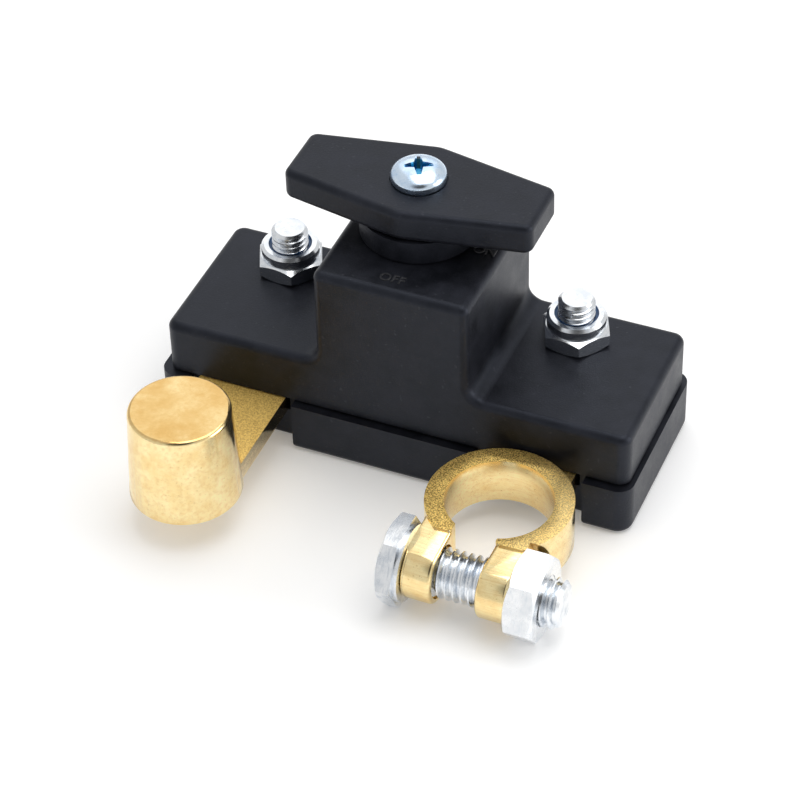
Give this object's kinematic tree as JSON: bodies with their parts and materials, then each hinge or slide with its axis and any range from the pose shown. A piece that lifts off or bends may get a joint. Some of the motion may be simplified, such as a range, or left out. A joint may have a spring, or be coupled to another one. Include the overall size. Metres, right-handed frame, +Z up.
{
  "type": "battery cut-off switch",
  "caption": "Battery cut-off switch: black housing with turning handle, tapered brass post and split brass battery clamp.",
  "frame": {"origin": "underside of the base, on the axis of the handle", "axes": "+X from the battery post to the battery clamp, +Y towards the back of the housing, +Z up along the handle's axis"},
  "size_m": [0.0796, 0.0608, 0.0485],
  "materials": {
    "black_plastic": "satin",
    "brass": "cast and machined",
    "zinc_steel": "bright zinc plate",
    "blue_zinc": "blue zinc plate",
    "spring_steel": "plain wire",
    "copper": "plain",
    "nylon": "matte",
    "rubber": "matte"
  },
  "bodies": {
    "housing": {"base_tray": "black_plastic", "cover": "black_plastic", "post_terminal": "brass", "clamp_terminal": "brass", "stud_bolt_left": "zinc_steel", "stud_bolt_right": "zinc_steel", "stud_nut_left": "zinc_steel", "stud_nut_right": "zinc_steel", "nut_insert_left": "nylon", "nut_insert_right": "nylon", "fixed_contact_left": "copper", "fixed_contact_right": "copper", "clamp_bolt": "zinc_steel", "clamp_nut": "zinc_steel", "clamp_washer": "zinc_steel"},
    "rotor": {"handle": "black_plastic", "handle_screw": "blue_zinc", "rotor_shaft": "black_plastic", "shaft_seal": "rubber", "contact_bridge": "copper", "contact_spring": "spring_steel"}
  },
  "joints": [
    {"name": "handle_turn", "type": "hinge", "parent": "housing", "child": "rotor", "pos_m": [0, 0, 0.0367], "axis": [0, 0, 1], "range_deg": [-90, 0]}
  ]
}
